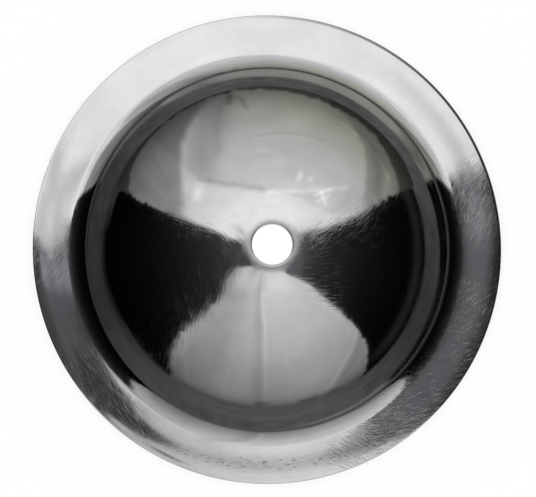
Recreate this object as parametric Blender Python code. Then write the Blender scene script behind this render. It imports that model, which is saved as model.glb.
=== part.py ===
"""Bell cymbal: one piece of thick white bronze, a deep domed cup with a narrow rim.

Metres, +Z up. The axis of the cymbal is Z, and the origin is the centre of the flat underside of the rim,
so the cymbal stands on z = 0 with its cup up. Nothing is joined to it: it is cast, pressed, turned and
polished in one piece.
"""

import math

import bmesh
import bpy

MM = 0.001

# The upper face, from the crown outwards: a ball-shaped dome, a short straight wall, and a hollow cove that
# turns the wall out into the rim.
DOME_RADIUS = 70.5 * MM
WALL_SLOPE = math.radians(52.0)
WALL_LENGTH = 4.2 * MM
COVE_RADIUS = 10.0 * MM

# The rim's underside is flat. Its upper face falls gently from the cove, and a little faster near the edge.
RIM_WIDTH = 10.7 * MM
RIM_FALL = math.radians(3.0)
ROLL_WIDTH = 3.0 * MM
ROLL_RADIUS = 60.0 * MM
EDGE_ROUND_TOP = 0.5 * MM
EDGE_ROUND_BOTTOM = 0.4 * MM

# The plate is equally thick from the hole to the foot of the cove.
PLATE_THICKNESS = 2.4 * MM

# The hole takes the rod of a cymbal stand. Both its edges are broken.
HOLE_DIAMETER = 12.7 * MM
HOLE_BREAK_TOP = 0.6 * MM
HOLE_BREAK_BOTTOM = 0.3 * MM

# Facets: round the axis, along the dome and the cove, and in each small rounding.
TURN_STEPS = 72
DOME_STEPS = 11
COVE_STEPS = 6
SMALL_STEPS = 2

# Polished white bronze: linear red, green and blue.
METAL_COLOUR = (0.60, 0.60, 0.59)
METAL_ROUGHNESS = 0.08

SHARP_ANGLE = math.radians(35)


def clear_scene():
    for obj in list(bpy.data.objects):
        bpy.data.objects.remove(obj)


def arc(centre, radius, start, end, steps):
    """Points (r, z) along a circle. Angle 0 is its top, and a quarter turn is its outermost point."""
    points = []
    for step in range(steps + 1):
        angle = start + (end - start) * step / steps
        points.append((centre[0] + radius * math.sin(angle), centre[1] + radius * math.cos(angle)))
    return points


def cove_centre():
    """The point (r, z) that both faces of the cove are round."""
    r = (DOME_RADIUS + COVE_RADIUS) * math.sin(WALL_SLOPE) + WALL_LENGTH * math.cos(WALL_SLOPE)
    return r, PLATE_THICKNESS + COVE_RADIUS


def dome_centre():
    """The point on the axis that both faces of the dome are round."""
    wall_foot = cove_centre()[1] - COVE_RADIUS * math.cos(WALL_SLOPE)
    return 0.0, wall_foot + WALL_LENGTH * math.sin(WALL_SLOPE) - DOME_RADIUS * math.cos(WALL_SLOPE)


def cup_face(depth, inner_radius, end_slope):
    """The face at a depth under the upper one, from the hole outwards until the cove falls at end_slope."""
    ball = DOME_RADIUS - depth
    dome = arc(dome_centre(), ball, math.asin(inner_radius / ball), WALL_SLOPE, DOME_STEPS)
    cove = arc(cove_centre(), COVE_RADIUS + depth, math.pi + WALL_SLOPE, math.pi + end_slope, COVE_STEPS)
    return dome + cove


def rim_face(cove_foot):
    """The rim from the foot of the upper cove: its upper face, and round the edge to the underside."""
    edge_radius = cove_foot[0] + RIM_WIDTH
    roll_slope = math.asin(math.sin(RIM_FALL) + ROLL_WIDTH / ROLL_RADIUS)
    roll_start = edge_radius - EDGE_ROUND_TOP * (1 - math.sin(roll_slope)) - ROLL_WIDTH
    roll_top = cove_foot[1] - (roll_start - cove_foot[0]) * math.tan(RIM_FALL)
    roll_centre = (
        roll_start - ROLL_RADIUS * math.sin(RIM_FALL),
        roll_top - ROLL_RADIUS * math.cos(RIM_FALL),
    )
    roll = arc(roll_centre, ROLL_RADIUS, RIM_FALL, roll_slope, SMALL_STEPS)
    edge_thickness = roll[-1][1]
    top_round = min(EDGE_ROUND_TOP, edge_thickness / 3)
    bottom_round = min(EDGE_ROUND_BOTTOM, edge_thickness / 3)
    # The roll runs into the edge's rounding where both fall at the same slope.
    round_centre = (
        roll[-1][0] - top_round * math.sin(roll_slope),
        roll[-1][1] - top_round * math.cos(roll_slope),
    )
    top = arc(round_centre, top_round, roll_slope, math.pi / 2, SMALL_STEPS)
    wall_r = top[-1][0]
    bottom = arc((wall_r - bottom_round, bottom_round), bottom_round, math.pi / 2, math.pi, SMALL_STEPS)
    return roll + top[1:] + bottom


def hole_wall():
    """The wall of the hole between its two broken edges, from the underside up."""
    radius = HOLE_DIAMETER / 2
    centre_z = dome_centre()[1]
    lower = centre_z + math.sqrt((DOME_RADIUS - PLATE_THICKNESS) ** 2 - radius ** 2)
    upper = centre_z + math.sqrt(DOME_RADIUS ** 2 - radius ** 2)
    return [(radius, lower + HOLE_BREAK_BOTTOM), (radius, upper - HOLE_BREAK_TOP)]


def section():
    """The closed section (r, z) of the cymbal, once round from the crown."""
    upper = cup_face(0.0, HOLE_DIAMETER / 2 + HOLE_BREAK_TOP, RIM_FALL)
    lower = cup_face(PLATE_THICKNESS, HOLE_DIAMETER / 2 + HOLE_BREAK_BOTTOM, 0.0)
    return upper + rim_face(upper[-1]) + lower[::-1] + hole_wall()


def turn(points):
    """A closed mesh, made by turning a closed section once round Z."""
    mesh = bmesh.new()
    corners = [mesh.verts.new((r, 0.0, z)) for r, z in points]
    sides = [mesh.edges.new(pair) for pair in zip(corners, corners[1:] + corners[:1])]
    bmesh.ops.spin(
        mesh,
        geom=corners + sides,
        cent=(0, 0, 0),
        axis=(0, 0, 1),
        angle=2 * math.pi,
        steps=TURN_STEPS,
        use_merge=True,
    )
    bmesh.ops.recalc_face_normals(mesh, faces=mesh.faces)
    return mesh


def polished_white_bronze():
    material = bpy.data.materials.new("polished_white_bronze")
    material.use_nodes = True
    shader = material.node_tree.nodes["Principled BSDF"]
    shader.inputs["Base Color"].default_value = (*METAL_COLOUR, 1.0)
    shader.inputs["Metallic"].default_value = 1.0
    shader.inputs["Roughness"].default_value = METAL_ROUGHNESS
    return material


def bell_cymbal():
    turned = turn(section())
    mesh = bpy.data.meshes.new("bell_cymbal")
    turned.to_mesh(mesh)
    turned.free()
    mesh.shade_smooth()
    mesh.set_sharp_from_angle(angle=SHARP_ANGLE)
    mesh.materials.append(polished_white_bronze())
    cymbal = bpy.data.objects.new("bell_cymbal", mesh)
    bpy.context.scene.collection.objects.link(cymbal)
    return cymbal


def main():
    clear_scene()
    bell_cymbal()


main()
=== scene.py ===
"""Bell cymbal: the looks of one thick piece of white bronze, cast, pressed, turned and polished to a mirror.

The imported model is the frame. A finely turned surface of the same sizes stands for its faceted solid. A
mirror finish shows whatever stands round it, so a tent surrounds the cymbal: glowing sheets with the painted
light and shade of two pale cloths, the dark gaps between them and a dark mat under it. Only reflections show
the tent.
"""

import math

import bmesh
import bpy
from mathutils import Matrix, Vector, noise

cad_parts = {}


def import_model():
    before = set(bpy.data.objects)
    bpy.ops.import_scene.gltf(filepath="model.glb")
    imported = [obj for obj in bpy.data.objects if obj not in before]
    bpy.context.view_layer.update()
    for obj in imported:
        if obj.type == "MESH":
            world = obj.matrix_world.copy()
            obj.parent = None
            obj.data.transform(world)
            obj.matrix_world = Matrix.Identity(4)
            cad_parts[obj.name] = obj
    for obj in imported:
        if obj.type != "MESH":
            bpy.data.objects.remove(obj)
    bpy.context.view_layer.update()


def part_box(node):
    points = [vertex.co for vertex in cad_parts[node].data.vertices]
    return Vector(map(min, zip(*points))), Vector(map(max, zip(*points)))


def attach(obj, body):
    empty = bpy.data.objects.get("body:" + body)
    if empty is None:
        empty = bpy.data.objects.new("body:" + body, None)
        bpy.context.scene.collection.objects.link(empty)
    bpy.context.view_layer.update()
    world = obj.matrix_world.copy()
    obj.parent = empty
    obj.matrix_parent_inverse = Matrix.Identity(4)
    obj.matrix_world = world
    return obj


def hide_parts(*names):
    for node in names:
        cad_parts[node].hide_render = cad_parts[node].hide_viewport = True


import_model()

MM = 0.001
NODE = "bell_cymbal"

# The section of the cymbal. Its rim radius comes from the frame.
RIM_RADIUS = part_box(NODE)[1].x
DOME_RADIUS = 70.5 * MM
WALL_SLOPE = math.radians(52.0)
WALL_LENGTH = 4.2 * MM
COVE_RADIUS = 10.0 * MM
COVE_END_SLOPE = math.radians(25.0)
PLATE_THICKNESS = 2.4 * MM
EDGE_ROUND_TOP = 0.2 * MM
EDGE_ROUND_BOTTOM = 0.4 * MM
# How steeply the upper face falls outwards beyond the cove, in degrees, by the radius in millimetres.
RIM_FALL = (
    (61.8, 25.0), (64.15, 6.0), (66.2, 4.4), (67.5, 3.7), (68.8, 3.0), (70.1, 2.6), (71.4, 2.9), (72.7, 3.7),
    (74.0, 4.8), (75.6, 6.0),
)
HOLE_RADIUS = 6.35 * MM
HOLE_BREAK_TOP = 0.6 * MM
HOLE_BREAK_BOTTOM = 0.3 * MM

# How finely it is turned.
TURN_STEPS = 288
DOME_STEPS = 56
WALL_STEPS = 4
COVE_STEPS = 26
RIM_STEPS = 52
EDGE_STEPS = 5
HOLE_STEPS = 4

# Hand polishing leaves a turned face very slightly uneven, less so close to the hole and to the rim's edge.
# A fade or a start that is a pair of numbers is a soft change, given as its middle and its width, here and
# further on. The upper side is where the Z of the normal is more than FACES_UP.
WAVE_LENGTH = 21.0 * MM
CUP_WAVE_HEIGHT = 0.018 * MM
RIM_WAVE_HEIGHT = 0.08 * MM
HOLE_FADE = (16.0 * MM, 14.0 * MM)
EDGE_FADE = (1.6 * MM, 2.0 * MM)
RIM_FADE = (64.0 * MM, 5.0 * MM)
FACES_UP = 0.2

# Low swellings of the rim, left and right of the cup: the middle, the reach and the height of each.
SWELLINGS = (
    (Vector((-81.5, 8.0)) * MM, 16.0 * MM, 0.22 * MM),
    (Vector((-75.0, -12.0)) * MM, 22.0 * MM, 0.20 * MM),
    (Vector((77.0, 4.0)) * MM, 15.5 * MM, 0.09 * MM),
)

# Where the rim's edge is bent a little up or down: the middle and half the width in degrees of azimuth, the
# radius where it starts and how far the edge rises.
EDGE_BENDS = (
    (181, 13, 69.0 * MM, 0.16 * MM),
    (227, 31, 65.5 * MM, 0.26 * MM),
    (333, 48, 67.5 * MM, -0.22 * MM),
)

# The cup sits a little over half a millimetre off the rim's centre, as hand work leaves it.
CUP_OFFSET = Vector((-0.5, -0.4, 0.0)) * MM
CUP_OFFSET_FADE = (69.0 * MM, 6.0 * MM)

# Patches where the buffing wheel ran one way: their middle and reach in millimetres, the direction of their
# strokes in degrees, how coarse and how strong the strokes are, and the even veil between them.
BUFFED = (
    (0, 0, 400, 24, 1.0, 0.30, 0.00),
    (0, 0, 400, 101, 1.0, 0.26, 0.00),
    (69, 18, 20, 68, 1.1, 0.54, 0.00),
    (73, -8, 24, 55, 1.1, 0.68, 0.00),
    (72, -24, 24, 40, 1.1, 0.85, 0.00),
    (58, -42, 28, 14, 1.1, 1.12, 0.00),
    (38, -60, 20, 10, 1.2, 1.10, 0.00),
    (27, -66, 12, 152, 1.4, 1.20, 0.00),
    (0, -71, 30, 20, 1.3, 0.30, 0.00),
    (-52, -46, 32, 122, 1.0, 0.85, 0.00),
    (-73, -4, 20, 60, 1.0, 0.60, 0.00),
    (63, 8, 14, 100, 1.0, 0.56, 0.20),
    (61, -18, 16, 75, 1.0, 0.68, 0.26),
    (10, 1, 8, 112, 1.6, 1.20, 0.20),
    (11, -1, 9, 30, 1.6, 1.10, 0.10),
    (23, 4, 18, 43, 2.0, 1.05, 0.10),
    (26, -3, 20, 20, 1.8, 1.00, 0.10),
    (38, 8, 18, 70, 2.0, 1.05, 0.06),
    (16, -13, 13, 2, 1.8, 1.30, 0.12),
    (42, -12, 16, 95, 1.8, 1.20, 0.03),
    (-20, -15, 17, 84, 1.8, 1.30, 0.20),
    (-36, -8, 24, 88, 1.8, 1.10, 0.08),
    (-24, 9, 16, 160, 1.8, 0.85, 0.12),
    (-13, -1, 7, 125, 1.8, 1.30, 0.20),
    (-31, -29, 18, 86, 1.8, 1.20, 0.14),
)

# The strokes: their size, the stretch of the noise that makes them, the share of a patch's reach in which
# they are at full strength, and what they do to the mirror. They roughen the cup less than the rim.
STROKE_LENGTH = 4.4 * MM
STROKE_WIDTH = 0.27 * MM
STROKE_DEPTH = 0.0029 * MM
STROKE_NOISE = (0.42, 0.82)
STROKE_FULL_SHARE = 0.4
STROKE_ROUGHNESS = 0.18
STROKE_DULLING = 0.30
CUP_ROUGHNESS_SHARE = 0.54
CUP_FINISH_END = 60.0 * MM
RIM_FINISH_START = 67.0 * MM

# A scuffed, finely pitted band of the rim: its radius and half its width, and the lines along Y between which
# it fades in.
SCUFFED_RADIUS = 69.9 * MM
SCUFFED_REACH = 4.4 * MM
SCUFFED_FULL_REACH = 0.44 * MM
SCUFFED_START = -61.0 * MM
SCUFFED_FULL = -68.5 * MM
SCUFFED_DULLING = 1.25
PIT_LENGTH = 2.3 * MM
PIT_WIDTH = 0.8 * MM
PIT_NOISE = (0.54, 0.84)
PIT_ROUGHNESS = 0.30
PIT_DULLING = 5.0

# A strip along the rim's edge on the right is painted dark: a painted reflection of the dark mat in the
# rounded edge, also made a little rougher. The radii between which it fades in, and how far round it reaches,
# as the cosine of the angle from its middle.
EDGE_REFLECTION_START = 75.05 * MM
EDGE_REFLECTION_FULL = 75.55 * MM
EDGE_REFLECTION_MIDDLE = math.radians(24.0)
EDGE_REFLECTION_END_COSINE = 0.25
EDGE_REFLECTION_FULL_COSINE = 0.97
EDGE_REFLECTION_ROUGHNESS = 0.15

# The mirror itself, and the faint, cloudy haze on it.
MIRROR_ROUGHNESS = 0.05
HAZE_SIZE = 13.0 * MM
HAZE_ROUGHNESS = 0.06
HAZE_NOISE = (0.40, 0.66)
HAZE_DULLING = 0.45

# The matt ring round the hole: how far out from the hole it ends, and where it is full.
HOLE_RING_END = 3.6 * MM
HOLE_RING_FULL = 0.4 * MM
HOLE_ROUGHNESS = 0.30

# The underside: the Z of a face's normal at which its finish starts and is full, and its turning lines.
UNDERSIDE_START = -0.1
UNDERSIDE_FULL = -0.3
UNDERSIDE_ROUGHNESS = 0.16
TURNING_PITCH = 0.9 * MM
RING_NOISE = (0.3, 0.7)
RING_DEPTH_SHARE = 2.0
RING_DULLING = 1.3

# The tent and its mat, and how finely their sheets are made. The levels keep sheets that meet apart.
TENT_RADIUS = 430.0 * MM
TENT_HEIGHT = 965.0 * MM
TENT_SQUARENESS = 4
GAP_SIZE = 1.05
MAT_INNER_RADIUS = 78.0 * MM
MAT_OUTER_RADIUS = 520.0 * MM
MAT_RINGS = 60
SHEET_ROWS = 220
SHEET_COLUMNS = 260
MAT_LEVEL = 0.2 * MM
GAP_LEVEL = 0.4 * MM
CLOTH_LEVEL = 0.6 * MM

# The left and right edge of each cloth as the dome mirrors it: pairs of an elevation and an azimuth.
BACK_CLOTH_RIGHT = ((15, 24), (30, 22), (45, 20.5), (60, 20), (63, 23.5), (72, 25.5))
BACK_CLOTH_LEFT = (
    (3, 156.2), (8, 157.2), (15, 158), (30, 159.2), (60, 160.5), (64, 162), (68, 164), (72, 164), (78, 163),
)
FRONT_CLOTH_LEFT = (
    (-2, 233), (2, 230), (10, 227), (24, 224), (40, 226), (52, 226), (57, 223.5), (62, 217), (68, 213),
    (74, 209), (79, 205),
)
FRONT_CLOTH_RIGHT = (
    (-2, 312), (7, 317), (17, 319.5), (31, 320.5), (49, 320), (68, 320.5), (72, 319), (75, 315.5), (78, 311),
    (81, 306),
)

# The cloths leave a slot over the cymbal. Its back edge is straight, and its front edge has points (x, y) in
# millimetres.
BACK_SLOT_EDGE = 58.0 * MM
FRONT_SLOT_EDGE = (
    (-90, -157), (-66, -165), (-30, -157), (110, -157), (150, -178), (180, -212), (225, -238), (300, -254),
)

# How bright each cloth is, 1 being white, by the elevation in degrees at which the dome mirrors it.
BACK_CLOTH_LIGHT = (
    (-8, 0.19), (-2, 0.31), (3, 0.41), (8, 0.51), (14, 0.60), (26, 0.74), (38, 0.86), (56, 1.06), (64, 1.22),
    (78, 1.27),
)
FRONT_CLOTH_LIGHT = (
    (-5, 0.10), (-3, 0.14), (-1, 0.22), (3, 0.32), (8, 0.38), (20, 0.49), (38, 0.68), (62, 0.86), (70, 0.93),
    (76.5, 0.86), (77.8, 0.82), (79.2, 0.70), (80, 0.55), (81, 0.45),
)
FRONT_CLOTH_TINT = (1.0, 0.985, 0.98)

# Shades on the cloths: below a line of azimuths and elevations, how soft its edge is, and how much it takes.
BACK_CLOTH_SHADES = (
    (
        ((24, 44), (30, 52), (45, 57), (75, 59.5), (90, 59), (105, 56), (120, 50), (128, 44), (134, 37)),
        1.2,
        0.13,
    ),
    (((104, -8), (112, -5), (119, 3), (128, 13), (134, 22), (140, 30), (149, 37), (160, 42)), 8.0, 0.52),
    (((20, 31), (28, 30), (37, 20), (47, 7), (57, -1), (67, -6)), 4.0, 0.38),
    (
        (
            (20, 12), (26, 4), (34, 0), (47, -4.6), (75, -5.2), (89, -6.2), (102, -7.8), (130, -7.8),
            (145, -5), (152, -1), (157, 5), (160, 13),
        ),
        1.2,
        0.70,
    ),
)
FRONT_CLOTH_SHADES = (
    (((295, -4), (304, 9), (313, 16), (322, 24)), 1.6, 0.16),
)

# Painted folds of the cloths, lighter and darker bands of their glow: a path of azimuths and elevations, how
# wide it is, and how much lighter or darker.
BACK_CLOTH_FOLDS = (
    (((134, 37), (128, 44), (122, 49), (109, 55), (92, 58.8)), 1.7, -0.30),
    (((93, 60), (75, 58.5), (58, 54), (46, 45), (37, 34)), 1.2, 0.22),
    (((135, 39), (142, 42)), 3.0, 0.36),
    (((66, 46), (66, 48)), 1.7, 0.50),
    (((58, 45), (59, 46)), 1.2, 0.30),
    (((49, 51.5), (43, 42.5)), 0.9, 0.40),
    (((44, 53.5), (41, 45)), 0.8, 0.36),
    (((47, 48), (37, 51)), 0.9, 0.36),
    (((31, 49), (31, 40), (36, 34)), 2.4, -0.12),
    (((108, 0), (114, 14), (121, 24), (128, 33)), 7.5, -0.24),
    (((104, -4), (108, 6.5), (112, 19), (116, 30)), 2.0, -0.13),
    (((118, 4), (127, 13.5), (135, 23), (143, 34)), 2.0, 0.13),
    (((102.6, -8), (102.6, 0)), 1.2, -0.45),
    (((102, -4), (98, -1), (97, 7)), 0.9, -0.30),
    (((94, 26.5), (81, 24), (63, 21)), 0.8, -0.13),
    (((94, 28.3), (81, 26), (63, 23)), 0.8, 0.08),
    (((91, 37.5), (95, 35), (88, 36)), 0.8, 0.12),
    (((89, 39), (93, 38)), 0.7, -0.10),
    (((43.5, 4), (35, 12), (28, 20.5)), 2.6, -0.22),
    (((32, 7), (26, 14.5)), 1.8, 0.30),
    (((59, 2.6), (47.6, 4.5), (38, 6), (30, 8)), 0.7, 0.18),
    (((62, 0.6), (48, 2), (38, 3.4)), 0.7, -0.14),
    (((144, 0), (148, 14), (152, 26)), 0.8, 0.12),
    (((139, 2), (142, 14), (147, 27)), 0.8, -0.10),
    (((149, 0), (154, 16), (156, 27)), 0.8, -0.10),
    (((22, 76), (35, 77), (50, 79), (60, 82)), 5.0, -0.34),
    (((146, 73), (154, 77), (163, 81)), 5.0, -0.38),
)
FRONT_CLOTH_FOLDS = (
    (((238, 8), (240, 30), (238, 54)), 17.0, -0.26),
    (((290, 6), (292, 40)), 12.0, 0.09),
    (((257, 74), (264.5, 45), (267, 22), (268.5, 3)), 3.6, -0.20),
    (((260, 74), (268.3, 50), (269.7, 27), (271, -1.5)), 1.3, 0.22),
    (((295, 0.6), (304.5, 10), (313, 16), (320.5, 23.3)), 0.9, 0.20),
    (((319, 18), (309, 8), (302.5, 3.3)), 1.0, -0.16),
    (((316, 24), (318, 36), (316, 48)), 1.2, 0.10),
    (((226, 26), (234.5, 10), (239.5, -0.6)), 1.2, 0.14),
    (((233.5, 21), (233, -2)), 1.2, -0.14),
    (((245, 40), (246, 20), (247, 0)), 1.0, -0.07),
    (((252, 36), (253, 16), (254, 0)), 0.9, 0.06),
    (((281, 38), (281, 18), (281, 0)), 1.0, 0.06),
    (((228, 57), (245, 62), (262, 70)), 4.0, -0.10),
    (((272, 72), (300, 70)), 8.0, 0.12),
    (((224, 58), (217, 65), (212, 74)), 6.0, -0.45),
    (((236, 78), (247, 81.5)), 4.0, -0.35),
    (((268, -1), (271, -1)), 1.5, -0.50),
    (((285, -2), (290, -2)), 1.5, -0.45),
    (((294, -3), (299, -2)), 1.3, -0.35),
)
# Beyond this many times its width, a fold doesn't show.
FOLD_MARGIN = 2.5

# Cloth is never quite even, and its edges are ragged. Each kind of edge follows one line of the noise.
CLOTH_UNEVENNESS = 0.07
CLOTH_UNEVEN_SIZE = 90.0 * MM
RAGGED_DEGREES = 1.5
RAGGED_STEP = 3.0
RAGGED_REACH = 8.0 * MM
RAGGED_SIZE = 26.0 * MM
BACK_SLOT_NOISE = 0
FRONT_SLOT_NOISE = 5
SHADE_NOISE = 0
FIRST_EDGE_NOISE = 7
SECOND_EDGE_NOISE = 3

# The back cloth is a little green low down and on the right: how much blue it lacks, the share of that which
# red lacks, and how the green fades by elevation and by azimuth.
GREEN_SHARE = 0.17
GREEN_RED_SHARE = 0.2
GREEN_ELEVATION_FADE = (22, 40)
GREEN_AZIMUTH_FADE = (105, 70)

# The dark gaps. Their light grows with the elevation, is uneven high up, and drops again at the very top.
GAP_TINT = (0.94, 0.94, 1.0)
GAP_LIGHT_FOOT = 0.0013
GAP_LIGHT_GAIN = 0.0534
GAP_TOP_LOSS = 0.5
GAP_TOP_START = (78, 4)
GAP_UNEVENNESS = 0.5
GAP_UNEVEN_SIZE = 45.0 * MM
GAP_UNEVEN_START = (62, 16)
# A dim band of ceiling on the right, along Y: its light, its middle and half its width in millimetres, and
# the elevation where it begins.
CEILING_LIGHT = 0.095
CEILING_MIDDLE = 260
CEILING_HALF = 100
CEILING_START = (68, 10)
# Pale patches of ceiling on the left: the middle (x, y) and half the sizes of each in millimetres, and its
# light.
GAP_PATCHES = (
    (-180, 36, 36, 22, 0.33),
    (-196, 4, 32, 13, 0.42),
    (-185, -42, 38, 36, 0.09),
)
# A gleam low down on the right: its elevation, half its height, its azimuth, and how it fades to the sides
# with the cosine of the angle.
GLEAM_LIGHT = 0.022
GLEAM_ELEVATION = 0.5
GLEAM_HALF = 3
GLEAM_AZIMUTH = 355
GLEAM_FADE = (0.8, 0.2)

# How bright the mat is by azimuth, close to the cymbal and further off, the radius where the one passes into
# the other, and the radius at which it fades away, in millimetres. Its grain is a size and a strength.
NEAR_MAT_LIGHT = (
    (0, 0.060), (35, 0.115), (110, 0.115), (150, 0.060), (200, 0.042), (245, 0.110), (290, 0.125),
    (330, 0.052), (360, 0.060),
)
FAR_MAT_LIGHT = (
    (0, 0.050), (20, 0.085), (35, 0.200), (65, 0.200), (95, 0.150), (110, 0.160), (140, 0.125), (155, 0.050),
    (172, 0.020), (190, 0.018), (205, 0.030), (230, 0.080), (245, 0.110), (290, 0.125), (330, 0.045),
    (360, 0.050),
)
FAR_MAT_START = (138, 55)
MAT_REACH = (
    (0, 260), (35, 250), (48, 900), (130, 900), (155, 500), (172, 160), (190, 160), (205, 215), (222, 700),
    (320, 900), (335, 330), (350, 260), (360, 260),
)
MAT_GRAIN = ((7.0 * MM, 0.30), (24.0 * MM, 0.25))

# The floor. Under the cup all its white is its own, and outside of that a share of it is lit and can be
# shaded.
FLOOR_LEVEL = -0.2 * MM
FLOOR_RADIUS = 12.0
FLOOR_SIDES = 96
SHADOW_START = 50.0 * MM
SHADOW_FULL = 60.0 * MM
SHADOW_SHARE = 0.2

CAMERA_DISTANCE = 1000.0 * MM
CAMERA_TILT = math.radians(4.3)
CAMERA_AZIMUTH = math.radians(-137.0)
CAMERA_AIM = Vector((0.13, 0.16, 0.0)) * MM
CAMERA_LENS = 206.4
CAMERA_SENSOR = 36.0


def linear(code):
    """A colour written as an sRGB hex value, as linear red, green and blue."""
    parts = [int(code[i:i + 2], 16) / 255 for i in (1, 3, 5)]
    return [part / 12.92 if part <= 0.04045 else ((part + 0.055) / 1.055) ** 2.4 for part in parts]


def add(tree, kind, links=(), **settings):
    """Adds a node. Settings are its properties; links pair an input with a value, a socket or a node."""
    made = tree.nodes.new(kind)
    for name, value in settings.items():
        setattr(made, name, value)
    for slot, value in links:
        if isinstance(value, bpy.types.Node):
            value = value.outputs[0]
        if isinstance(value, bpy.types.NodeSocket):
            tree.links.new(value, made.inputs[slot])
        else:
            made.inputs[slot].default_value = value
    return made


def ramp(x, stops):
    """The value at x between stops, which are pairs of a position and a value."""
    if x <= stops[0][0]:
        return stops[0][1]
    for (x0, y0), (x1, y1) in zip(stops, stops[1:]):
        if x <= x1:
            return y0 + (y1 - y0) * (x - x0) / (x1 - x0)
    return stops[-1][1]


def step_up(x, middle, width):
    """0 well below the middle and 1 well above it, with a soft change as wide as width."""
    k = min(max((x - middle) / width + 0.5, 0.0), 1.0)
    return k * k * (3 - 2 * k)


def swell(away):
    """1 in the middle of a swelling and 0 where away, the share of its reach, is 1 or more."""
    return step_up(1 - away, 0.5, 1)


def blob(x, middle, half, power):
    """1 in the middle, about a third at the distance half, and 0 far off. A higher power flattens its top."""
    return math.exp(-(((x - middle) / half) ** power))


def line_noise(x, line):
    """Smooth noise along one of many lines."""
    return noise.noise(Vector((x, line, 0)))


def arc(centre, radius, start, end, steps):
    """Points (r, z) along a circle. Angle 0 is its top, and a quarter turn is its outermost point."""
    points = []
    for step in range(steps + 1):
        angle = start + (end - start) * step / steps
        points.append((centre[0] + radius * math.sin(angle), centre[1] + radius * math.cos(angle)))
    return points


def between(start, end, steps):
    """Points (r, z) along a straight line, without its two ends."""
    shares = [step / steps for step in range(1, steps)]
    return [(start[0] + (end[0] - start[0]) * k, start[1] + (end[1] - start[1]) * k) for k in shares]


def cove_centre():
    r = (DOME_RADIUS + COVE_RADIUS) * math.sin(WALL_SLOPE) + WALL_LENGTH * math.cos(WALL_SLOPE)
    return r, PLATE_THICKNESS + COVE_RADIUS


def dome_centre():
    wall_foot = cove_centre()[1] - COVE_RADIUS * math.cos(WALL_SLOPE)
    return 0.0, wall_foot + WALL_LENGTH * math.sin(WALL_SLOPE) - DOME_RADIUS * math.cos(WALL_SLOPE)


def cup_face(depth, inner_radius, end_slope):
    """The face at a depth under the upper one, from the hole outwards until the cove falls at end_slope."""
    ball = DOME_RADIUS - depth
    dome = arc(dome_centre(), ball, math.asin(inner_radius / ball), WALL_SLOPE, DOME_STEPS)
    cove = arc(cove_centre(), COVE_RADIUS + depth, math.pi + WALL_SLOPE, math.pi + end_slope, COVE_STEPS)
    return dome + between(dome[-1], cove[0], WALL_STEPS) + cove


def rim_face(cove_end):
    """The rim from the end of the upper cove: its upper face, and round the edge to the underside."""
    edge_slope = math.radians(RIM_FALL[-1][1])
    edge_start = RIM_RADIUS - EDGE_ROUND_TOP * (1 - math.sin(edge_slope))
    step = (edge_start - cove_end[0]) / RIM_STEPS
    face = [cove_end]
    for _ in range(RIM_STEPS):
        r, z = face[-1]
        fall = math.radians(ramp((r + 0.5 * step) / MM, RIM_FALL))
        face.append((r + step, z - step * math.tan(fall)))
    round_centre = (
        face[-1][0] - EDGE_ROUND_TOP * math.sin(edge_slope),
        face[-1][1] - EDGE_ROUND_TOP * math.cos(edge_slope),
    )
    top = arc(round_centre, EDGE_ROUND_TOP, edge_slope, math.pi / 2, EDGE_STEPS)
    bottom_centre = (top[-1][0] - EDGE_ROUND_BOTTOM, EDGE_ROUND_BOTTOM)
    bottom = arc(bottom_centre, EDGE_ROUND_BOTTOM, math.pi / 2, math.pi, EDGE_STEPS)
    return face[1:] + top[1:] + bottom


def hole_break():
    """The middle (r, z) of the round on the hole's upper edge, and the slope at which it meets the dome."""
    ball = DOME_RADIUS - HOLE_BREAK_TOP
    r = HOLE_RADIUS + HOLE_BREAK_TOP
    return (r, dome_centre()[1] + math.sqrt(ball ** 2 - r ** 2)), math.asin(r / ball)


def hole_face():
    """The wall of the hole, from the underside up, with both its edges rounded off."""
    lower = dome_centre()[1] + math.sqrt((DOME_RADIUS - PLATE_THICKNESS) ** 2 - HOLE_RADIUS ** 2)
    bottom_centre = (HOLE_RADIUS + HOLE_BREAK_BOTTOM, lower + HOLE_BREAK_BOTTOM)
    bottom = arc(bottom_centre, HOLE_BREAK_BOTTOM, math.pi, 1.5 * math.pi, HOLE_STEPS)
    top_centre, slope = hole_break()
    top = arc(top_centre, HOLE_BREAK_TOP, 1.5 * math.pi, 2 * math.pi + slope, HOLE_STEPS)
    return bottom[1:] + between(bottom[-1], top[0], HOLE_STEPS) + top[:-1]


def section():
    """The closed section (r, z) of the cymbal, once round from the crown."""
    upper = cup_face(0.0, DOME_RADIUS * math.sin(hole_break()[1]), COVE_END_SLOPE)
    lower = cup_face(PLATE_THICKNESS, HOLE_RADIUS + HOLE_BREAK_BOTTOM, 0.0)
    return upper + rim_face(upper[-1]) + lower[::-1] + hole_face()


def make_uneven(corner):
    """Moves a corner of the upper face as polishing, swellings and bends of the rim leave it."""
    radius = corner.co.xy.length
    corner.co += CUP_OFFSET * (1 - step_up(radius, *CUP_OFFSET_FADE))
    if corner.normal.z <= FACES_UP:
        return
    calm = step_up(radius, *HOLE_FADE) * step_up(RIM_RADIUS - radius, *EDGE_FADE)
    on_rim = step_up(radius, *RIM_FADE)
    wave = CUP_WAVE_HEIGHT + (RIM_WAVE_HEIGHT - CUP_WAVE_HEIGHT) * on_rim
    corner.co += corner.normal * wave * calm * noise.noise(corner.co / WAVE_LENGTH)
    for middle, reach, height in SWELLINGS:
        corner.co.z += height * on_rim * swell((corner.co.xy - middle).length / reach)
    azimuth = math.degrees(math.atan2(corner.co.y, corner.co.x)) % 360
    for middle, half, start, height in EDGE_BENDS:
        away = abs((azimuth - middle + 180) % 360 - 180) / half
        outwards = max(radius - start, 0.0) / (RIM_RADIUS - start)
        corner.co.z += height * swell(away) * outwards ** 2


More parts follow.
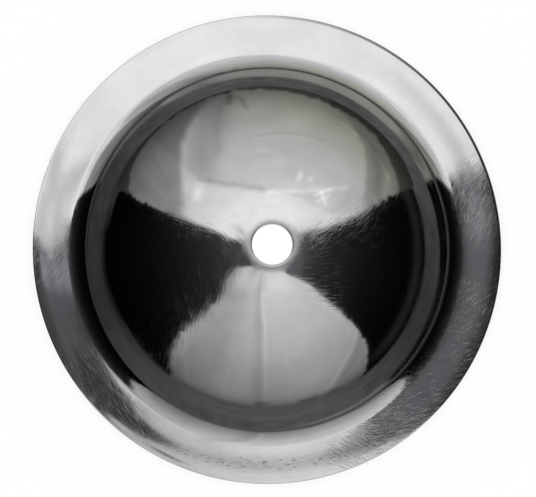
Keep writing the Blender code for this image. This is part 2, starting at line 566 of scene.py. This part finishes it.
def cymbal_mesh():
    """The section turned once round Z, then made slightly uneven."""
    turned = bmesh.new()
    corners = [turned.verts.new((r, 0.0, z)) for r, z in section()]
    sides = [turned.edges.new(pair) for pair in zip(corners, corners[1:] + corners[:1])]
    bmesh.ops.spin(
        turned,
        geom=corners + sides,
        cent=(0, 0, 0),
        axis=(0, 0, 1),
        angle=2 * math.pi,
        steps=TURN_STEPS,
        use_merge=True,
    )
    bmesh.ops.recalc_face_normals(turned, faces=turned.faces)
    turned.normal_update()
    for corner in turned.verts:
        make_uneven(corner)
    mesh = bpy.data.meshes.new(NODE)
    turned.to_mesh(mesh)
    turned.free()
    mesh.shade_smooth()
    return mesh


def buffing_strokes(tree, across):
    """How strong the buffing strokes are. They run one way, patch by patch, with a veil between them."""
    strokes = 0.0
    for x, y, reach, direction, coarseness, strength, veil in BUFFED:
        turned = add(
            tree,
            "ShaderNodeMapping",
            [
                ("Vector", across),
                ("Rotation", (0, 0, math.radians(direction))),
                ("Scale", (STROKE_LENGTH, STROKE_WIDTH * coarseness, 1)),
            ],
            vector_type="TEXTURE",
        )
        lines = add(
            tree,
            "ShaderNodeTexNoise",
            [("Vector", turned), ("Scale", 1.0), ("Detail", 2.0)],
            noise_dimensions="2D",
        )
        lines = add(
            tree,
            "ShaderNodeMapRange",
            [
                ("Value", lines),
                ("From Min", STROKE_NOISE[0]),
                ("From Max", STROKE_NOISE[1]),
                ("To Min", veil),
                ("To Max", strength),
            ],
            interpolation_type="SMOOTHSTEP",
        )
        middle = Vector((x, y, 0)) * MM
        away = add(tree, "ShaderNodeVectorMath", [(0, across), (1, middle)], operation="DISTANCE")
        here = add(
            tree,
            "ShaderNodeMapRange",
            [
                ("Value", away.outputs["Value"]),
                ("From Min", reach * MM),
                ("From Max", STROKE_FULL_SHARE * reach * MM),
            ],
            interpolation_type="SMOOTHSTEP",
        )
        strokes = add(
            tree, "ShaderNodeMath", [(0, lines), (1, here), (2, strokes)], operation="MULTIPLY_ADD"
        )
    return strokes


def scuffs(tree, place, across, radius):
    """How scuffed the front of the rim is, and the pits in it, longer along X than across."""
    away = add(tree, "ShaderNodeMath", [(0, radius), (1, SCUFFED_RADIUS)], operation="SUBTRACT")
    away = add(tree, "ShaderNodeMath", [(0, away)], operation="ABSOLUTE")
    band = add(
        tree,
        "ShaderNodeMapRange",
        [("Value", away), ("From Min", SCUFFED_REACH), ("From Max", SCUFFED_FULL_REACH)],
        interpolation_type="SMOOTHSTEP",
    )
    y = add(tree, "ShaderNodeSeparateXYZ", [(0, place)]).outputs["Y"]
    front = add(
        tree,
        "ShaderNodeMapRange",
        [("Value", y), ("From Min", SCUFFED_START), ("From Max", SCUFFED_FULL)],
        interpolation_type="SMOOTHSTEP",
    )
    scuffed = add(tree, "ShaderNodeMath", [(0, band), (1, front)], operation="MULTIPLY")
    pits = add(
        tree,
        "ShaderNodeMapping",
        [("Vector", across), ("Scale", (PIT_LENGTH, PIT_WIDTH, 1))],
        vector_type="TEXTURE",
    )
    pits = add(
        tree, "ShaderNodeTexNoise", [("Vector", pits), ("Scale", 1.0), ("Detail", 5.0), ("Roughness", 0.62)]
    )
    pits = add(
        tree,
        "ShaderNodeMapRange",
        [("Value", pits), ("From Min", PIT_NOISE[0]), ("From Max", PIT_NOISE[1])],
    )
    return scuffed, add(tree, "ShaderNodeMath", [(0, pits), (1, scuffed)], operation="MULTIPLY")


def painted_edge_reflection(tree, across, radius):
    """How strong the painted dark reflection along the rim's edge on the right is."""
    middle = (math.cos(EDGE_REFLECTION_MIDDLE), math.sin(EDGE_REFLECTION_MIDDLE), 0)
    towards = add(tree, "ShaderNodeVectorMath", [(0, across)], operation="NORMALIZE")
    towards = add(tree, "ShaderNodeVectorMath", [(0, towards), (1, middle)], operation="DOT_PRODUCT")
    towards = add(
        tree,
        "ShaderNodeMapRange",
        [
            ("Value", towards.outputs["Value"]),
            ("From Min", EDGE_REFLECTION_END_COSINE),
            ("From Max", EDGE_REFLECTION_FULL_COSINE),
        ],
    )
    at_edge = add(
        tree,
        "ShaderNodeMapRange",
        [("Value", radius), ("From Min", EDGE_REFLECTION_START), ("From Max", EDGE_REFLECTION_FULL)],
        interpolation_type="SMOOTHSTEP",
    )
    return add(tree, "ShaderNodeMath", [(0, towards), (1, at_edge)], operation="MULTIPLY")


def turning_lines(tree, from_hole, underneath):
    """Rings round the hole, on the underside only."""
    rings = add(tree, "ShaderNodeMath", [(0, from_hole), (1, TURNING_PITCH)], operation="DIVIDE")
    rings = add(
        tree, "ShaderNodeTexNoise", [("W", rings), ("Scale", 1.0), ("Detail", 1.0)], noise_dimensions="1D"
    )
    rings = add(
        tree,
        "ShaderNodeMapRange",
        [("Value", rings), ("From Min", RING_NOISE[0]), ("From Max", RING_NOISE[1])],
    )
    return add(tree, "ShaderNodeMath", [(0, rings), (1, underneath)], operation="MULTIPLY")


def polished_white_bronze():
    """White bronze, cast, turned and buffed on a wheel: a cool silver grey mirror.

    Buffing leaves short strokes that run one way, patch by patch. They fray the edges of whatever the metal
    mirrors and lay a faint haze over the dark parts. The real strokes are a few hundredths of a millimetre
    wide, too fine to show here, so they are drawn a quarter to half a millimetre wide. A band of the rim is
    scuffed and pitted. A strip along the rim's edge on the right is painted dark, a painted reflection of
    the dark mat in the rounded edge, and is a little rougher. The hole's edge is broken with a file and left
    matt, and the underside keeps its turning lines, drawn coarser than a lathe cuts them.
    """
    material = bpy.data.materials.new("polished_white_bronze")
    material.use_nodes = True
    tree = material.node_tree
    place = add(tree, "ShaderNodeTexCoord").outputs["Object"]
    across = add(tree, "ShaderNodeVectorMath", [(0, place), (1, (1, 1, 0))], operation="MULTIPLY")
    radius = add(tree, "ShaderNodeVectorMath", [(0, across)], operation="LENGTH").outputs["Value"]
    from_hole = add(tree, "ShaderNodeVectorMath", [(0, across), (1, CUP_OFFSET)], operation="DISTANCE")
    from_hole = from_hole.outputs["Value"]
    normal = add(tree, "ShaderNodeNewGeometry").outputs["Normal"]
    facing = add(tree, "ShaderNodeSeparateXYZ", [(0, normal)]).outputs["Z"]
    underneath = add(
        tree,
        "ShaderNodeMapRange",
        [("Value", facing), ("From Min", UNDERSIDE_START), ("From Max", UNDERSIDE_FULL)],
    )

    strokes = buffing_strokes(tree, across)
    scuffed, pits = scuffs(tree, place, across, radius)
    edge_reflection = painted_edge_reflection(tree, across, radius)
    rings = turning_lines(tree, from_hole, underneath)
    haze = add(tree, "ShaderNodeTexNoise", [("Vector", place), ("Scale", 1 / HAZE_SIZE), ("Detail", 4.0)])
    near_hole = add(
        tree,
        "ShaderNodeMapRange",
        [
            ("Value", from_hole),
            ("From Min", HOLE_RADIUS + HOLE_RING_END),
            ("From Max", HOLE_RADIUS + HOLE_RING_FULL),
        ],
        interpolation_type="SMOOTHSTEP",
    )
    on_rim = add(
        tree,
        "ShaderNodeMapRange",
        [
            ("Value", from_hole),
            ("From Min", CUP_FINISH_END),
            ("From Max", RIM_FINISH_START),
            ("To Min", CUP_ROUGHNESS_SHARE),
        ],
    )
    roughened = add(tree, "ShaderNodeMath", [(0, strokes), (1, on_rim)], operation="MULTIPLY")

    height = add(
        tree, "ShaderNodeMath", [(0, rings), (1, RING_DEPTH_SHARE), (2, strokes)], operation="MULTIPLY_ADD"
    )
    bump = add(tree, "ShaderNodeBump", [("Height", height), ("Distance", STROKE_DEPTH)], invert=True)

    # The haze is a half on average, so the roughness is the mirror's own on average.
    roughness = MIRROR_ROUGHNESS - 0.5 * HAZE_ROUGHNESS
    for mark, gain in (
        (haze, HAZE_ROUGHNESS),
        (roughened, STROKE_ROUGHNESS),
        (near_hole, HOLE_ROUGHNESS),
        (pits, PIT_ROUGHNESS),
        (edge_reflection, EDGE_REFLECTION_ROUGHNESS),
        (underneath, UNDERSIDE_ROUGHNESS),
    ):
        roughness = add(
            tree, "ShaderNodeMath", [(0, mark), (1, gain), (2, roughness)], operation="MULTIPLY_ADD"
        )

    dulling = add(
        tree,
        "ShaderNodeMapRange",
        [
            ("Value", haze),
            ("From Min", HAZE_NOISE[0]),
            ("From Max", HAZE_NOISE[1]),
            ("To Max", HAZE_DULLING),
        ],
    )
    for mark, gain in (
        (strokes, STROKE_DULLING),
        (scuffed, SCUFFED_DULLING),
        (pits, PIT_DULLING),
        (rings, RING_DULLING),
    ):
        dulling = add(
            tree, "ShaderNodeMath", [(0, mark), (1, gain), (2, dulling)], operation="MULTIPLY_ADD"
        )
    colour = add(
        tree,
        "ShaderNodeMix",
        [(0, dulling), (6, (*linear("#D0D0D2"), 1)), (7, (*linear("#C2C2C5"), 1))],
        data_type="RGBA",
        clamp_factor=False,
    )
    # The strip along the rim's edge on the right is painted dark grey: a painted reflection of the dark mat
    # in the rounded edge.
    colour = add(
        tree,
        "ShaderNodeMix",
        [(0, edge_reflection), (6, colour.outputs[2]), (7, (*linear("#3C3C3E"), 1))],
        data_type="RGBA",
    )

    shader = tree.nodes["Principled BSDF"]
    shader.inputs["Metallic"].default_value = 1.0
    tree.links.new(colour.outputs[2], shader.inputs["Base Color"])
    tree.links.new(roughness.outputs[0], shader.inputs["Roughness"])
    tree.links.new(bump.outputs[0], shader.inputs["Normal"])
    return material


def cymbal():
    made = bpy.data.objects.new("turned_cymbal", cymbal_mesh())
    made.data.materials.append(polished_white_bronze())
    bpy.context.scene.collection.objects.link(made)
    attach(made, "root")
    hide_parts(NODE)


def tent_point(azimuth, elevation, level, size):
    """The point of the tent that the dome mirrors straight up from this direction, in degrees."""
    turn = math.radians(azimuth)
    slope = (math.pi / 2 - math.radians(elevation)) / 2
    start = Vector((math.cos(turn), math.sin(turn), 0)) * DOME_RADIUS * math.sin(slope)
    normal = (start - CUP_OFFSET) / DOME_RADIUS
    normal.z = math.sqrt(1 - normal.length_squared)
    start.z = dome_centre()[1] + DOME_RADIUS * normal.z
    away = 2 * normal.z * normal - Vector((0, 0, 1))
    across = (away.xy.length / TENT_RADIUS) ** TENT_SQUARENESS
    up = (abs(away.z) / TENT_HEIGHT) ** TENT_SQUARENESS
    reach = size * (across + up) ** (-1 / TENT_SQUARENESS)
    if away.z < 0:
        reach = min(reach, (start.z - level) / -away.z)
    return start + away * reach


def marks(folds):
    """Each fold with the box of azimuths and elevations beyond which it doesn't show."""
    made = []
    for path, width, gain in folds:
        path = [Vector(point) for point in path]
        reach = Vector((width, width)) * FOLD_MARGIN
        low = Vector((min(point.x for point in path), min(point.y for point in path))) - reach
        high = Vector((max(point.x for point in path), max(point.y for point in path))) + reach
        made.append((path, width, gain, low, high))
    return made


BACK_CLOTH_MARKS = marks(BACK_CLOTH_FOLDS)
FRONT_CLOTH_MARKS = marks(FRONT_CLOTH_FOLDS)


def distance_to(path, here):
    """How far a point is from a path."""
    nearest = math.inf
    for start, end in zip(path, path[1:]):
        run = end - start
        share = min(max((here - start).dot(run) / run.length_squared, 0.0), 1.0)
        nearest = min(nearest, (here - start - run * share).length)
    return nearest


def cloth_light(azimuth, elevation, place, light, shades, folds):
    """How bright a cloth is at an azimuth and elevation."""
    made = ramp(elevation, light)
    here = Vector((azimuth, elevation))
    ragged = RAGGED_DEGREES * line_noise(azimuth / RAGGED_STEP, SHADE_NOISE)
    for line, softness, taken in shades:
        if line[0][0] <= azimuth <= line[-1][0]:
            made *= 1 - taken * step_up(ramp(azimuth, line) + ragged, elevation, softness)
    for path, width, gain, low, high in folds:
        if low.x < azimuth < high.x and low.y < elevation < high.y:
            made *= 1 + gain * blob(distance_to(path, here), 0, width, 2)
    return made * (1 + CLOTH_UNEVENNESS * noise.noise(place / CLOTH_UNEVEN_SIZE))


def back_cloth_light(azimuth, elevation, place):
    light = cloth_light(azimuth, elevation, place, BACK_CLOTH_LIGHT, BACK_CLOTH_SHADES, BACK_CLOTH_MARKS)
    green = GREEN_SHARE * (1 - step_up(elevation, *GREEN_ELEVATION_FADE))
    green *= 1 - step_up(azimuth, *GREEN_AZIMUTH_FADE)
    return light * (1 - GREEN_RED_SHARE * green), light, light * (1 - green)


def front_cloth_light(azimuth, elevation, place):
    light = cloth_light(azimuth, elevation, place, FRONT_CLOTH_LIGHT, FRONT_CLOTH_SHADES, FRONT_CLOTH_MARKS)
    return [light * tint for tint in FRONT_CLOTH_TINT]


def gap_light(azimuth, elevation, place):
    x = place.x / MM
    y = place.y / MM
    light = GAP_LIGHT_FOOT * math.exp(GAP_LIGHT_GAIN * elevation)
    light *= 1 - GAP_TOP_LOSS * step_up(elevation, *GAP_TOP_START)
    uneven = noise.noise(place / GAP_UNEVEN_SIZE) * step_up(elevation, *GAP_UNEVEN_START)
    light *= 1 + GAP_UNEVENNESS * uneven
    light += CEILING_LIGHT * blob(x, CEILING_MIDDLE, CEILING_HALF, 4) * step_up(elevation, *CEILING_START)
    for middle_x, middle_y, half_x, half_y, gain in GAP_PATCHES:
        light += gain * blob(x, middle_x, half_x, 4) * blob(y, middle_y, half_y, 4)
    towards = math.cos(math.radians(azimuth - GLEAM_AZIMUTH))
    light += GLEAM_LIGHT * blob(elevation, GLEAM_ELEVATION, GLEAM_HALF, 2) * step_up(towards, *GLEAM_FADE)
    return [light * tint for tint in GAP_TINT]


def mat_light(azimuth, place):
    radius = place.xy.length / MM
    near = ramp(azimuth, NEAR_MAT_LIGHT)
    reach = ramp(azimuth, MAT_REACH)
    light = near + (ramp(azimuth, FAR_MAT_LIGHT) - near) * step_up(radius, *FAR_MAT_START)
    light *= 1 - step_up(radius, reach, reach)
    light *= 1 + sum(strength * noise.noise(place / size) for size, strength in MAT_GRAIN)
    return light, light, light


def sheet(name, points, lights, columns):
    """A stage sheet from rows of points. It glows by its own light, and only reflections show it."""
    mesh = bpy.data.meshes.new(name)
    faces = []
    for i in range(len(points) // columns - 1):
        for j in range(columns - 1):
            k = i * columns + j
            faces.append((k, k + 1, k + 1 + columns, k + columns))
    mesh.from_pydata(points, [], faces)
    mesh.shade_smooth()
    colours = mesh.color_attributes.new("light", "FLOAT_COLOR", "POINT")
    for datum, light in zip(colours.data, lights):
        datum.color = (*light, 1.0)
    material = bpy.data.materials.new(name)
    material.use_nodes = True
    tree = material.node_tree
    tree.nodes.clear()
    light = add(tree, "ShaderNodeAttribute", attribute_name="light")
    glow = add(tree, "ShaderNodeEmission", [("Color", light.outputs["Color"])])
    add(tree, "ShaderNodeOutputMaterial", [("Surface", glow.outputs[0])])
    mesh.materials.append(material)
    made = bpy.data.objects.new(name, mesh)
    made.visible_camera = False
    made.visible_diffuse = False
    made.visible_transmission = False
    made.visible_shadow = False
    bpy.context.scene.collection.objects.link(made)


def tent_sheet(name, first, second, bottom, top, level, light, keep=None, ragged=0.0, size=1.0):
    """Part of the tent between two edges. A cloth has a function, keep, that holds it out of the slot."""
    points = []
    lights = []
    for i in range(SHEET_ROWS + 1):
        elevation = bottom + (top - bottom) * i / SHEET_ROWS
        start = ramp(elevation, first) + ragged * line_noise(elevation / RAGGED_STEP, FIRST_EDGE_NOISE)
        end = ramp(elevation, second) + ragged * line_noise(elevation / RAGGED_STEP, SECOND_EDGE_NOISE)
        for j in range(SHEET_COLUMNS + 1):
            azimuth = start + (end - start) * j / SHEET_COLUMNS
            place = tent_point(azimuth, elevation, level, size)
            if keep:
                place = keep(place)
            points.append(place)
            lights.append(light(azimuth, elevation, place))
    sheet(name, points, lights, SHEET_COLUMNS + 1)


def back_of_slot(place):
    """The back cloth ends over the cymbal at a straight, ragged edge."""
    ragged = RAGGED_REACH * line_noise(place.x / RAGGED_SIZE, BACK_SLOT_NOISE)
    place.y = max(place.y, BACK_SLOT_EDGE + ragged)
    return place


def front_of_slot(place):
    """The front cloth ends over the cymbal at a nearly straight, ragged edge."""
    ragged = RAGGED_REACH * line_noise(place.x / RAGGED_SIZE, FRONT_SLOT_NOISE)
    place.y = min(place.y, ramp(place.x / MM, FRONT_SLOT_EDGE) * MM + ragged)
    return place


def mat():
    points = []
    lights = []
    for ring in range(MAT_RINGS + 1):
        radius = MAT_INNER_RADIUS * (MAT_OUTER_RADIUS / MAT_INNER_RADIUS) ** (ring / MAT_RINGS)
        for degree in range(361):
            turn = math.radians(degree)
            points.append(Vector((radius * math.cos(turn), radius * math.sin(turn), MAT_LEVEL)))
            lights.append(mat_light(degree, points[-1]))
    sheet("stage_mat", points, lights, 361)


def tent():
    tent_sheet(
        "stage_dark_gaps",
        ((0, 0),),
        ((0, 360),),
        bottom=-5,
        top=90,
        level=GAP_LEVEL,
        light=gap_light,
        size=GAP_SIZE,
    )
    tent_sheet(
        "stage_back_cloth",
        BACK_CLOTH_RIGHT,
        BACK_CLOTH_LEFT,
        bottom=-9,
        top=88,
        level=CLOTH_LEVEL,
        light=back_cloth_light,
        keep=back_of_slot,
        ragged=RAGGED_DEGREES,
    )
    tent_sheet(
        "stage_front_cloth",
        FRONT_CLOTH_LEFT,
        FRONT_CLOTH_RIGHT,
        bottom=-5,
        top=86,
        level=CLOTH_LEVEL,
        light=front_cloth_light,
        keep=front_of_slot,
        ragged=RAGGED_DEGREES,
    )
    mat()


def white_floor():
    """Plain white, seen through from below. Part of its white is its own, so the shadow on it stays faint."""
    material = bpy.data.materials.new("white_floor")
    material.use_nodes = True
    tree = material.node_tree
    tree.nodes.clear()
    path = add(tree, "ShaderNodeLightPath")
    seen = path.outputs["Is Camera Ray"]
    for kind in ("Is Glossy Ray", "Is Transmission Ray"):
        seen = add(
            tree, "ShaderNodeMath", [(0, seen), (1, path.outputs[kind])], operation="ADD", use_clamp=True
        )
    place = add(tree, "ShaderNodeTexCoord").outputs["Object"]
    radius = add(tree, "ShaderNodeVectorMath", [(0, place)], operation="LENGTH").outputs["Value"]
    shaded = add(
        tree,
        "ShaderNodeMapRange",
        [("Value", radius), ("From Min", SHADOW_START), ("From Max", SHADOW_FULL), ("To Max", SHADOW_SHARE)],
    )
    own = add(tree, "ShaderNodeMath", [(0, 1.0), (1, shaded)], operation="SUBTRACT")
    own = add(tree, "ShaderNodeMath", [(0, own), (1, seen)], operation="MULTIPLY")
    glow = add(tree, "ShaderNodeEmission", [("Color", (1, 1, 1, 1)), ("Strength", own)])
    lit = add(tree, "ShaderNodeBsdfDiffuse", [("Color", shaded)])
    both = add(tree, "ShaderNodeAddShader", [(0, glow), (1, lit)])
    behind = add(tree, "ShaderNodeNewGeometry").outputs["Backfacing"]
    clear = add(tree, "ShaderNodeBsdfTransparent")
    both = add(tree, "ShaderNodeMixShader", [(0, behind), (1, both), (2, clear)])
    add(tree, "ShaderNodeOutputMaterial", [("Surface", both)])
    return material


def floor():
    made = bmesh.new()
    bmesh.ops.create_circle(made, cap_ends=True, radius=FLOOR_RADIUS, segments=FLOOR_SIDES)
    mesh = bpy.data.meshes.new("stage_floor")
    made.to_mesh(mesh)
    made.free()
    mesh.materials.append(white_floor())
    obj = bpy.data.objects.new("stage_floor", mesh)
    obj.location.z = FLOOR_LEVEL
    bpy.context.scene.collection.objects.link(obj)


def world():
    sky = bpy.data.worlds.new("white_studio")
    sky.use_nodes = True
    sky.node_tree.nodes["Background"].inputs["Color"].default_value = (1, 1, 1, 1)
    sky.node_tree.nodes["Background"].inputs["Strength"].default_value = 1.0
    bpy.context.scene.world = sky


def camera():
    data = bpy.data.cameras.new("camera")
    data.sensor_width = CAMERA_SENSOR
    data.lens = CAMERA_LENS
    made = bpy.data.objects.new("camera", data)
    back = Vector((
        math.sin(CAMERA_TILT) * math.cos(CAMERA_AZIMUTH),
        math.sin(CAMERA_TILT) * math.sin(CAMERA_AZIMUTH),
        math.cos(CAMERA_TILT),
    ))
    up = (Vector((0, 1, 0)) - back * back.y).normalized()
    right = up.cross(back)
    turn = Matrix((right, up, back)).transposed()
    made.matrix_world = Matrix.LocRotScale(CAMERA_AIM + back * CAMERA_DISTANCE, turn, None)
    bpy.context.scene.collection.objects.link(made)
    bpy.context.scene.camera = made


camera()
world()
floor()
tent()
cymbal()
bpy.context.scene.view_settings.view_transform = "Standard"
